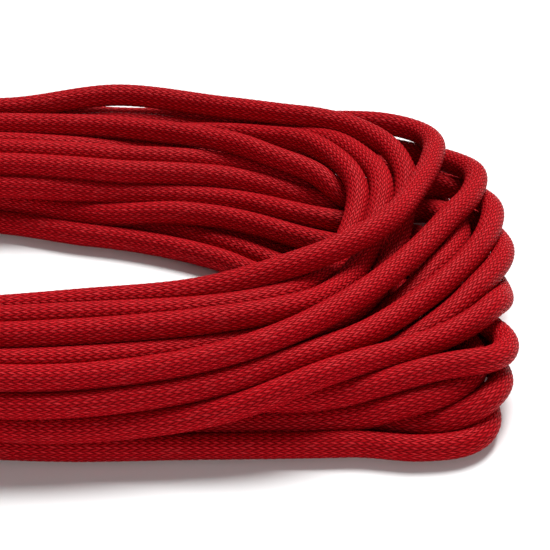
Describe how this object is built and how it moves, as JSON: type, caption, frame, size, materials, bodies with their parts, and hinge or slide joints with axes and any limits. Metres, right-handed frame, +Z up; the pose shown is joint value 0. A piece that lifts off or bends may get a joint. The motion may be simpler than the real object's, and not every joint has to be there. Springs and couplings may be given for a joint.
{
  "type": "lead rope",
  "caption": "Braided red lead rope laid up as a flat oblong hank, with a swivel bolt snap looped and crimped on one end and a whipped tail.",
  "frame": {"origin": "middle of the bounding box, on the surface the hank lies on", "axes": "+X along the hank towards the end away from the snap, +Y across the hank in the snap's direction, +Z up"},
  "size_m": [0.2719, 0.134, 0.0299],
  "materials": {
    "red_braid": "32-plait braided polyester yarn, slight sheen",
    "red_twine": "waxed twine",
    "black_strap": "hook-and-loop strap",
    "nickel_cast": "nickel-plated zinc casting",
    "spring_steel": "bright steel",
    "crimp_metal": "satin crimped sleeve"
  },
  "bodies": {
    "root": {"rope_hank": "red_braid", "rope_snap_end": "red_braid", "rope_tail": "red_braid", "rope_ferrule": "crimp_metal", "tail_whipping": "red_twine", "hank_tie": "black_strap"},
    "eye": {"swivel_eye": "nickel_cast"},
    "snap": {"snap_body": "nickel_cast", "swivel_washer": "spring_steel", "spring_seat": "spring_steel", "bolt_spring": "spring_steel"},
    "bolt": {"snap_bolt": "nickel_cast", "bolt_knob": "nickel_cast"}
  },
  "joints": [
    {"name": "eye_swing", "type": "hinge", "parent": "root", "child": "eye", "pos_m": [-0.12148, -0.005, 0.00735], "axis": [1, 0, 0], "range_deg": [0, 120]},
    {"name": "snap_swivel", "type": "hinge", "parent": "eye", "child": "snap", "pos_m": [-0.12148, -0.0034, 0.01012], "axis": [0, -0.9938, 0.1115], "continuous": true},
    {"name": "bolt_slide", "type": "slide", "parent": "snap", "child": "bolt", "axis": [0, -0.9938, 0.1115], "range_m": [0, 0.01], "stiffness_N_per_m": 500, "springref_m": -0.004}
  ]
}
